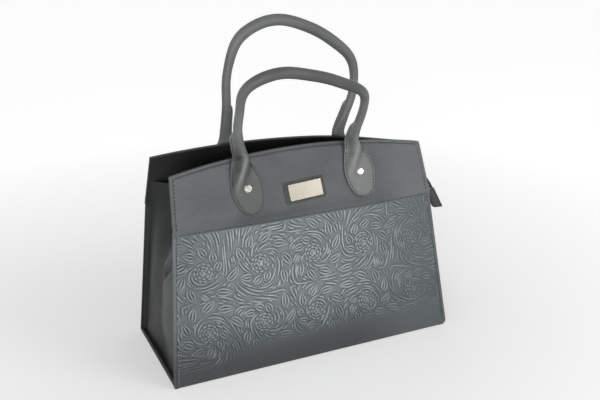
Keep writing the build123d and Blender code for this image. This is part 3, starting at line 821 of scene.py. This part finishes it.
def makeLinings():
    top = bag["gussetTop"] - lining["drop"]
    for side in (front, back):
        z = np.repeat(np.linspace(lining["floor"], top, 40)[:, None], 60, axis=1)
        x = np.linspace(-1, 1, 60)[None, :] * (halfWidth(z) - lining["margin"])
        y = faceY(side, x, z) - side * (bag["panelLeather"] + lining["cloth"])
        y = y - side * lining["ripple"] * np.sin(x / 17 + z / 40) * np.sin(z / 25)
        hangCloth(sideNames[side], np.stack([x, y, z], axis=-1), side == front, held="hung")
    for hand in (left, right):
        rows = []
        for z in np.linspace(lining["floor"], top, 50):
            near, fold, far = foldPath(hand, z)[1:4]
            path = [near + (fold - near) * lining["start"], fold, far + (fold - far) * lining["start"]]
            line = rounded(np.array(path) - np.array([hand * lining["cloth"], 0]), 50, 2.0)
            rows.append(np.column_stack([line, np.full(50, z)]))
        hangCloth(handNames[hand], np.array(rows), hand == left, held="hung")
    low, high = nodeBox("base_lining")
    x, y = np.meshgrid(np.linspace(low[0], high[0], 50), np.linspace(low[1], high[1], 30))
    z = high[2] + lining["baseRipple"] * np.sin(x / 19) * np.sin(y / 13)
    hangCloth("base", np.stack([x, y, z], axis=-1), held="laid", rests_on=["base_board"])


makeLinings()
print("linings made")


# Stitches: short thread loops laid in a row on a surface; rings give place, girth and rise as shares
stitch = {
    "pitch": 4.2, "length": 3.0, "radius": 0.5, "sides": 6, "slant": 0.14, "rimPitch": 3.2,
    "rings": ((-1.0, 0.25, -0.5), (-0.8, 0.8, -0.1), (-0.35, 1.0, 0.25),
              (0.35, 1.0, 0.25), (0.8, 0.8, -0.1), (1.0, 0.25, -0.5)),
}


def stitchLoops(line, normals, pitch=stitch["pitch"]):
    even, places = respace(line, 0.4)
    facing = columnsAt(places, runPlaces(line), normals)
    count = max(1, int(places[-1] / pitch))
    radius, reach = stitch["radius"], stitch["length"] * pitch / stitch["pitch"] / 2
    turn = np.arange(stitch["sides"])[:, None] * 2 * math.pi / stitch["sides"]
    faces = gridFaces(len(stitch["rings"]), stitch["sides"], wrap=True)
    loops = []
    for i in range(count):
        mid = (i + 0.5) * places[-1] / count
        k = int(np.clip(np.searchsorted(places, mid), 1, len(places) - 2))
        along = unit(even[k + 1] - even[k - 1])
        up = unit(facing[k] - along * (facing[k] @ along))
        wide = np.cross(along, up)
        along = unit(along + stitch["slant"] * wide)      # the needle slants each stitch a little
        circle = radius * (np.cos(turn) * wide + np.sin(turn) * up)
        loops.append((np.concatenate([even[k] + along * place * reach + up * rise * radius + circle * girth
                                      for place, girth, rise in stitch["rings"]]), faces))
    return loops


def stitchPiece(name, rows, thread=seamThread, blend=None):
    piece = addPiece(name, *joinMeshes([loop for row in rows for loop in stitchLoops(*row)]), thread)
    if not blend:
        return settle(piece, "leather")
    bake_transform(piece)
    return piece


# A closed row round a pad, inside its rim
def padRow(outline, origin, ex, ey, normal, out):
    rim = np.concatenate([outline, outline[:1]])
    row = origin + rim[:, :1] * ex + rim[:, 1:] * ey + normal * out
    return row, np.tile(normal, (len(row), 1)), stitch["rimPitch"]


# Rolled handles that open out into leaf tabs, with a stitched flange up one side of each throat.
# Tables run in mm from a tab's foot, and those of one handle in shares of its length or its drop.
# The crest is the throat's diagonal fold, off its middle
handle = {
    "halfSpan": 67.0, "drop": 140.0, "tabAt": 69.0, "tabLow": 10.0, "tabRun": 58.0, "tabLeather": 2.6,
    "rivetUp": 38.0,
    "half": ((0, 0), (4.4, 10.5), (20.8, 17.7), (33, 18.8), (42, 17.0), (52, 12.2), (58, 8.9),
             (64, 6.8), (72, 5.9), (84, 5.6), (98, 5.6)),
    "frontRise": ((0, 1.3), (56, 1.3), (66, 2.6), (78, 4.4), (90, 5.4), (100, 5.6)),
    "rearRise": ((0, 1.3), (56, 1.3), (66, 2.0), (78, 4.2), (90, 5.4), (100, 5.6)),
    "square": ((0, 6.0), (58, 5.0), (70, 3.0), (92, 2.0)),
    "crest": ((0, -14), (24, -14), (32, -11), (45, -4), (55, 1), (65, 2), (80, 0.5), (100, 0)),
    "crestRise": ((0, 0), (22, 0), (32, 1.6), (45, 4.0), (56, 5.2), (65, 4.8), (74, 2.8), (86, 0.6), (96, 0)),
    "flank": (3.4, 8.0), "girthSpan": (70.0, 95.0), "liftSpan": (56.0, 84.0), "bend": (-3.0, 11.0),
    "flange": ((42, 0), (52, 2.6), (62, 4.6), (72, 5.0)), "flangeHalf": 1.2, "flangeRound": 9.0,
    "ring": 48, "step": 1.5, "soften": 4.5, "archSoften": 8.0,
    "rimInset": 2.3, "rimEnd": 57.0, "rimPitch": 3.6,
    "flangeInset": 1.9, "flangeRun": (60.0, 4.0), "flangePitch": 3.4,
    front: {"tilt": 38.0, "lean": -0.105, "rise": 0.984,
            "route": ((-1.27, 0.34), (-1.42, 0.84), (-0.90, 0.98), (-0.07, 0.85), (0.75, 0.64), (0.88, 0.43)),
            "bends": (0.55, 0.16, 0.26, 0.85, 0.17, 0.4),
            "shift": ((0, -3.6), (0.1, -3.6), (0.3, -1.6), (0.55, 0)),
            "girth": ((0.05, 0.92), (0.26, 0.84), (0.38, 1.06), (0.68, 1.06), (0.8, 0.84), (0.95, 0.92)),
            # Painted light and shade along the handle: paler on the legs, darker along the top of the arch
            "wear": ((0, 0.32), (0.05, 0.55), (0.15, 0.95), (0.28, 0.75), (0.36, 0.32), (0.7, 0.2),
                     (0.78, 0.65), (0.88, 0.85), (1, 0.75)),
            "flangeSide": (-1, 1), "flangeTop": (112, 101), "flangeWide": 1.0},
    back: {"tilt": 3.0, "lean": 0.0, "rise": 0.97,
           "route": ((-1.01, 0.54), (-0.82, 0.87), (-0.18, 1.04), (0.60, 0.89), (1.19, 0.66), (1.22, 0.41)),
           "bends": (0.6, 0.25, 0.36, 0.7, 0.2, 0.43),
           "shift": ((0, 0), (0.05, 0), (0.3, 3.8), (1, 3.8)),
           "girth": ((0.05, 0.95), (0.24, 0.9), (0.36, 1.15), (0.66, 1.15), (0.8, 0.88), (0.95, 0.92)),
           # Painted light and shade along the handle: paler round the arch than on the legs
           "wear": ((0, 0.4), (0.1, 0.4), (0.25, 0.5), (0.34, 0.7), (0.5, 0.55), (0.65, 0.45), (0.8, 0.7),
                    (1, 0.5)),
           "flangeSide": (-1, -1), "flangeTop": (108, 106), "flangeWide": 0.5},
}


def yokeAxes(side):
    seam, mouth = bag[sideNames[side] + "Reach"]
    climb = (seam - mouth) / (bag["mouthHeight"] - bag["seamHeight"])
    skew = 0 if side == front else bag["skew"]
    return unit((1, -skew, 0)), unit((skew, side, climb))


def onYoke(side, along, up, out):
    across, normal = yokeAxes(side)
    rise = np.cross(normal, across) * -side
    foot = np.array([0, float(faceY(side, np.array(0.0), np.array(bag["seamHeight"]))), bag["seamHeight"]])
    return foot + across * along + rise * up + normal * (bag["yokeLeather"] + out)


# The middle line of a handle, from the foot of its left tab over the arch to that of the right one
def handleLine(side, hinge, across, rise):
    spec = handle[side]
    corners = np.array([(-1, 0), *spec["route"], (1, 0)]) * (handle["halfSpan"], handle["drop"])
    bends = [share * handle["drop"] for share in spec["bends"]]
    arch, _ = respace(bentRoute(corners, bends, 2.0), handle["step"])
    arch = rounded(arch, len(arch), handle["archSoften"]) * (1, spec["rise"])
    arch[:, 0] += fromTable(spec["shift"], arch[:, 1] / handle["drop"])
    arch = hinge + arch[:, :1] * across + arch[:, 1:] * rise
    ups = handle["tabLow"] + np.linspace(0, handle["tabRun"], 12)
    tabs = [[onYoke(side, hand * handle["tabAt"] + spec["lean"] * (up - handle["rivetUp"]), up,
                    handle["tabLeather"] / 2) for up in ups] for hand in (left, right)]
    line, places = respace(np.concatenate([tabs[0], arch, tabs[1][::-1]]), handle["step"])
    return rounded(line, len(line), handle["soften"]), places


def makeHandle(side):
    spec, name = handle[side], sideNames[side]
    joint = joints[name + "_handle_swing"]
    hinge, across = np.array(joint["pos_m"]) / mm, unit(joint["axis"])
    tilt = math.radians(spec["tilt"])
    rise = np.array([0, 0, 1]) * math.cos(tilt) + np.cross(across, (0, 0, 1)) * math.sin(tilt)
    archOut, yokeOut = np.cross(across, rise) * -side, yokeAxes(side)[1]
    line, places = handleLine(side, hinge, across, rise)
    total = places[-1]
    tangents = unitRows(np.gradient(line, axis=0))
    ends = np.minimum(places, total - places)
    ends[0] = ends[-1] = 0.15
    along = np.clip((places - handle["tabRun"]) / (total - 2 * handle["tabRun"]), 0, 1)
    girth = 1 + (fromTable(spec["girth"], along) - 1) * smooth(*handle["girthSpan"], ends)
    half = through([(math.sqrt(end), wide) for end, wide in handle["half"]], np.sqrt(ends)) * girth
    frontRise, rearRise = (through(handle[key], ends) * girth for key in ("frontRise", "rearRise"))
    power = fromTable(handle["square"], ends)[:, None]
    crest, crestRise = (through(handle[key], ends)[:, None] for key in ("crest", "crestRise"))
    early = places < total / 2
    flangeSide, flangeTop = (np.where(early, *spec[key]) for key in ("flangeSide", "flangeTop"))
    flange = fromTable(handle["flange"], ends) * spec["flangeWide"]
    tip = np.clip(ends - flangeTop, -handle["flangeRound"], 0) / handle["flangeRound"] + 1
    flange *= np.sqrt(np.clip(1 - tip ** 2, 0, 1))
    lift = smooth(*handle["liftSpan"], ends)[:, None]
    out = yokeOut * (1 - lift) + archOut * lift
    out = unitRows(out - tangents * np.sum(out * tangents, axis=1)[:, None])
    wide = np.cross(tangents, out)

    # The leather's face at x across each ring: rolled tube, flat flange beside it and the throat's fold
    def face(x, rising, folded):
        beside = x * flangeSide[:, None]
        tube = (1 - np.clip(np.abs(x) / half[:, None], 0, 1) ** power) ** (1 / power)
        flat = (1 - np.clip(beside / (half + flange)[:, None], 0, 1) ** 8) ** 0.125 * (beside > 0)
        flat = handle["flangeHalf"] * flat * smooth(0, 1.5, flange)[:, None]
        away = -beside - crest
        flank = np.where(away < 0, *handle["flank"])
        fold = folded * crestRise * np.exp(-np.abs(away / flank) ** 2.2) * np.sqrt(tube)
        return np.maximum(rising[:, None] * tube, flat) + fold

    turn = np.linspace(0, 2 * math.pi, handle["ring"], endpoint=False)
    c, d = np.cos(turn)[None, :], np.sin(turn)[None, :]
    x = c * (half[:, None] + np.where(c * flangeSide[:, None] > 0, flange[:, None], 0))
    y = np.where(d >= 0, face(x, frontRise, 1), -face(x, rearRise, 0)) * (np.abs(d) > 1e-6)
    rings = line[:, None] + x[..., None] * wide[:, None] + y[..., None] * out[:, None]
    piece = addPiece(name + "Handle", rings, tubeFaces(len(line), handle["ring"]), handleLeather)
    away = -x * flangeSide[:, None] - crest
    fold = crestRise / 5 * (d > 0)          # painted highlight along its crest and painted shade beside it
    wear = fromTable(spec["wear"], along)[:, None] + fold * ridge(away, 0, 2.6)
    paintPointValues(piece, wear - 0.5 * fold * (ridge(away, -7, 4) + 0.5 * ridge(away, 8, 4)))
    blend = ("bag", name + "_handle", *(Vector((0, 0, (hinge[2] + up) * mm)) for up in handle["bend"]))
    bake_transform(piece)
    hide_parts(name + "_handle", name + "_left_tab", name + "_right_tab")

    rims, rimRows, flangeRows = [], [], []
    for way in (-1, 1):
        inset = way * (half + np.where(way == flangeSide, flange, 0) - handle["rimInset"])[:, None]
        rims.append(line + wide * inset + out * (face(inset, frontRise, 1) + 0.15))
    inset = (flangeSide * (half + flange - handle["flangeInset"]))[:, None]
    low, high = handle["flangeRun"]
    for part in (early, ~early):
        keep = part & (ends < handle["rimEnd"]) & (half > handle["rimInset"] + 1)
        one, two = rims[0][keep], rims[1][keep]
        loop = np.concatenate([one[::-1], two] if part is early else [one, two[::-1]])
        rimRows.append((loop, np.tile(yokeOut, (len(loop), 1)), handle["rimPitch"]))
        keep = part & (ends > low) & (ends < flangeTop - high)
        for way in (-1, 1):
            row = line + wide * inset + out * way * handle["flangeHalf"]
            flangeRows.append((row[keep], out[keep] * way, handle["flangePitch"]))
    stitchPiece(name + "TabStitches", rimRows)
    stitchPiece(name + "FlangeStitches", flangeRows, blend=blend)
    return piece


for side in (front, back):
    makeHandle(side)
print("handles made")


# Stitch rows that close the bag's seams, by their distances from the leather's edges
seams = {"points": 200, "over": 1.7, "end": 5.0, "mouth": 4.0, "panel": 3.4, "panelLow": 14.0, "yoke": 4.0,
         "lean": {front: 0.15, back: 0.2}}


def sewSeams():
    count, low, high = seams["points"], bag["seamHeight"], bag["mouthHeight"]
    spread, leather = np.linspace(-1, 1, count), bag["yokeLeather"] * 1.06
    rows, mouthRows = [], []
    for side in (front, back):
        normals = np.tile(np.array([0, side, seams["lean"][side]]), (count, 1))
        z = np.full(count, low + seams["over"])
        rows.append((bodyPoint(side, spread * (halfWidth(z) - seams["end"]), z, leather - 0.1), normals))
        x = spread * (bag["mouthHalf"] - seams["end"])
        mouthRows.append((bodyPoint(side, x, topHeight(side, x) - seams["mouth"], leather - 0.1), normals))
        for hand in (left, right):
            for bottom, top, inset, out in ((seams["panelLow"], low - 2, seams["panel"], -0.15),
                                            (low + 5, high - 3, seams["yoke"], leather - 0.2)):
                z = np.linspace(bottom, top, count)
                rows.append((bodyPoint(side, hand * (halfWidth(z) - inset), z, out), normals))
    stitchPiece("seamStitches", rows)
    stitchPiece("mouthStitches", mouthRows, edgeThread)


sewSeams()


# Leather patch sewn round its rim, with a bare metal plate on it, both set a little askew
patch = {"width": 50.0, "height": 24.5, "corner": 2.5, "along": -1.9, "up": 28.0, "turn": 3.7, "leather": 1.4,
         "edge": 0.6, "inset": 2.0, "rowCorner": 1.5}
plate = {"width": 41.0, "height": 19.0, "corner": 1.2, "metal": 1.6, "edge": 0.6}


def makePatch():
    level, normal = yokeAxes(front)
    turn = math.radians(patch["turn"])
    across = level * math.cos(turn) + np.cross(normal, level) * math.sin(turn)
    rise = np.cross(normal, across)
    half, inset = patch["leather"] / 2, 2 * patch["inset"]
    centre = onYoke(front, patch["along"], patch["up"], half)
    outline = roundedBox(patch["width"], patch["height"], patch["corner"])
    mesh = padMesh(outline, centre, across, rise, half, patch["edge"])
    settle(addPiece("platePatch", *mesh, trimLeather), "leather", "plate_patch")
    outline = roundedBox(plate["width"], plate["height"], plate["corner"])
    onTop = centre + normal * (patch["leather"] + plate["metal"]) / 2
    mesh = padMesh(outline, onTop, across, rise, plate["metal"] / 2, plate["edge"])
    settle(addPiece("metalPlate", *mesh, plateMetal, smoothFaces=False), "plate_metal", "metal_plate")
    outline = roundedBox(patch["width"] - inset, patch["height"] - inset, patch["rowCorner"])
    stitchPiece("patchStitches", [padRow(outline, centre, across, rise, normal, half + 0.1)])


makePatch()


# Zip: woven tapes hanging from the facings, and the joined tail with its folded leather end
zipper = {
    "start": -118.0, "turn": 40.0, "end": 84.0, "lap": 3.0, "width": 13.0, "meanWidth": 12.3, "cloth": 1.0,
    "tailY": -24.0, "tailRise": 8.0, "tailWidth": 10.0, "fitGap": 0.2, "tailGap": 0.4, "step": 1.5,
    "route": ((0, 0), (24.4, 0), (67.8, -13.9), (85.9, -35.0), (102.3, -66.0)), "bends": (36.5, 36.5, 65.7),
    "tooth": (1.3, 3.6), "toothPitch": 2.0, "toothFrom": 14.0,
    "endLength": 25.0, "endWidth": 11.6, "endLeather": 1.3, "endOver": 2.0, "endSlant": 0.6, "endInset": 4.0,
}


def makeTape(side):
    top = bag["gussetTop"] - lining["drop"] + zipper["lap"]
    x = np.linspace(zipper["start"], zipper["end"], 120)
    share = np.clip((x - zipper["turn"]) / (zipper["end"] - zipper["turn"]), 0, 1)
    hang = faceY(side, x, np.full_like(x, top)) - side * (bag["panelLeather"] + zipper["fitGap"])
    meet = zipper["tailY"] + side * (zipper["cloth"] + zipper["fitGap"] / 2)
    y = np.where(share > 0, hang[np.searchsorted(x, zipper["turn"])] * (1 - share) + meet * share, hang)
    tail, half = bag["gussetTop"] + zipper["tailRise"], zipper["tailWidth"] / 2
    low = (top - zipper["width"]) * (1 - share) + (tail - half) * share
    high = top * (1 - share) + (tail + half) * share
    climb = np.linspace(0, 1, 7)[:, None]
    z = low * (1 - climb) + high * climb
    y = y - side * (0.1 + 0.25 * np.sin(x / 9) * np.sin(np.pi * climb) * (x < zipper["turn"])) + 0 * z
    points = np.stack([x + 0 * z, y, z], axis=-1)
    piece = gridPiece(sideNames[side] + "ZipTape", points, zipCloth, flip=side == front)
    thicken(piece, zipper["cloth"] - 0.2, 0.25)
    settle(piece, "zip_tape", sideNames[side] + "_zip_tape")


# The folded end is cut on the slant, longer on its outer side
def slantEnd(outline):
    outline[:, 0] += (outline[:, 0] > 0) * (zipper["endOver"] + zipper["endSlant"] * outline[:, 1])
    return outline


def makeTail():
    line, places = respace(bentRoute(zipper["route"], zipper["bends"], zipper["step"]), zipper["step"])
    line = rounded(line, len(line), 2.0)
    start = (zipper["end"] + zipper["tailGap"], zipper["tailY"], bag["gussetTop"] + zipper["tailRise"])
    spine = np.array(start) + np.column_stack([line[:, 0], 0 * line[:, 0], line[:, 1]])
    along = unitRows(np.gradient(spine, axis=0))
    out = np.array([0.0, -1.0, 0.0])
    rise = -np.cross(along, out)
    section = roundedBox(zipper["tailWidth"], 2 * zipper["cloth"], 0.8, 3)
    rings = spine[:, None] + section[None, :, :1] * rise[:, None] + section[None, :, 1:] * out
    piece = addPiece("zipTail", rings, tubeFaces(len(spine), len(section)), zipCloth)
    settle(piece, "zip_tape", "zip_tail")

    teeth, tooth = [], roundedBox(*zipper["tooth"], 0.4, 3)
    for place in np.arange(zipper["toothFrom"], places[-1] - zipper["endLength"] - 1, zipper["toothPitch"]):
        k = int(np.searchsorted(places, place))
        for way in (-1, 1):
            centre = spine[k] + out * way * (zipper["cloth"] + 0.1)
            teeth.append(padMesh(tooth, centre, along[k], rise[k], 0.45, 0.3))
    settle(addPiece("tailTeeth", *joinMeshes(teeth), zipMetal), "hardware")

    fall, side = along[-1], rise[-1]
    length, wide, inset = zipper["endLength"] + zipper["endLeather"], zipper["endWidth"], zipper["endInset"]
    centre = spine[-1] - fall * (zipper["endLength"] - zipper["endLeather"]) / 2
    depth = zipper["cloth"] + 0.1 + zipper["endLeather"]
    mesh = padMesh(slantEnd(roundedBox(length, wide, 1.6)), centre, fall, side, depth, 1.0)
    settle(addPiece("zipEndTab", *mesh, trimLeather), "leather", "zip_end_tab")
    rim = slantEnd(roundedBox(length - inset, wide - inset, 1.2))
    normal = np.cross(fall, side)
    rows = [padRow(rim, centre, fall, side, normal * way, depth + 0.1) for way in (-1, 1)]
    stitchPiece("endTabStitches", rows)


for side in (front, back):
    makeTape(side)
makeTail()
print("zip made")


# CAD pieces that keep their own shape take a finish
for node, material in (("handle_rivets", nickel), ("front_zip_chain", zipMetal), ("back_zip_chain", zipMetal),
                       ("zip_slider", zipMetal), ("zip_pull", zipMetal), ("base_board", boardMaterial)):
    mesh = frame["nodes"][node].data
    mesh.materials.clear()
    mesh.materials.append(material)


# Studio: pale floor that shows white further off, white surroundings and soft lamps
studio = {
    "floor": "#e2e2e2", "floorSize": 14, "ambient": 0.38, "white": 1.0, "aim": (0, 0, 0.12),
    "glow": {"From_Min": 0.2, "From_Max": 0.9, "To_Min": 0.35, "To_Max": 0.62},
    "lamps": (("key", (1.2, -1.4, 1.0), (0.9, 0.9), 7.0, 150),      # place, size, watts and spread
              ("window", (0.85, -1.9, 0.2), (1.2, 0.3), 0.6, 60),
              ("fill", (-0.85, -1.5, 0.3), (0.7, 0.5), 5.0, 100)),
}


def seenWhite(tree):
    ray = addNode(tree, "LightPath")
    seen = ray.outputs["Is Camera Ray"]
    for kind in ("Is Glossy Ray", "Is Transmission Ray"):
        links = [(0, seen), (1, ray.outputs[kind])]
        seen = addNode(tree, "Math", links, operation="MAXIMUM").outputs[0]
    return seen


def makeFloor(spec):
    bpy.ops.mesh.primitive_plane_add(size=spec["floorSize"], location=(0, 0, 0))
    floor = bpy.context.object
    floor.name = "studioFloor"
    material, tree, shader = newMaterial("paleFloor", spec["floor"], Roughness=0.8,
                                         Emission_Color=(1, 1, 1, 1))
    place = addNode(tree, "TexCoord").outputs["Object"]
    away = addNode(tree, "VectorMath", [(0, place)], operation="LENGTH").outputs["Value"]
    far = addNode(tree, "MapRange", [("Value", away)], **spec["glow"])
    links = [(0, seenWhite(tree)), (1, far.outputs["Result"])]
    glow = addNode(tree, "Math", links, operation="MULTIPLY")
    linkUp(tree, shader, [("Emission Strength", glow.outputs[0])])
    floor.data.materials.append(material)


def makeLights(spec):
    world = bpy.data.worlds.new("studio")
    scene.world = world
    world.use_nodes = True
    tree = world.node_tree
    power = addNode(tree, "MapRange", [("Value", seenWhite(tree))],
                    To_Min=spec["ambient"], To_Max=spec["white"])
    sky = tree.nodes["Background"]
    sky.inputs["Color"].default_value = (1, 1, 1, 1)
    linkUp(tree, sky, [("Strength", power.outputs["Result"])])
    for name, place, size, watts, spread in spec["lamps"]:
        lamp = bpy.data.lights.new(name, "AREA")
        lamp.shape, lamp.energy = "RECTANGLE", watts
        lamp.size, lamp.size_y = size
        lamp.spread = math.radians(spread)
        lampObject = bpy.data.objects.new(name, lamp)
        scene.collection.objects.link(lampObject)
        lampObject.location = place
        lampObject.visible_camera = False
        aim = Vector(spec["aim"]) - Vector(place)
        lampObject.rotation_euler = aim.to_track_quat("-Z", "Y").to_euler()


makeFloor(studio)
makeLights(studio)
print("studio lit")
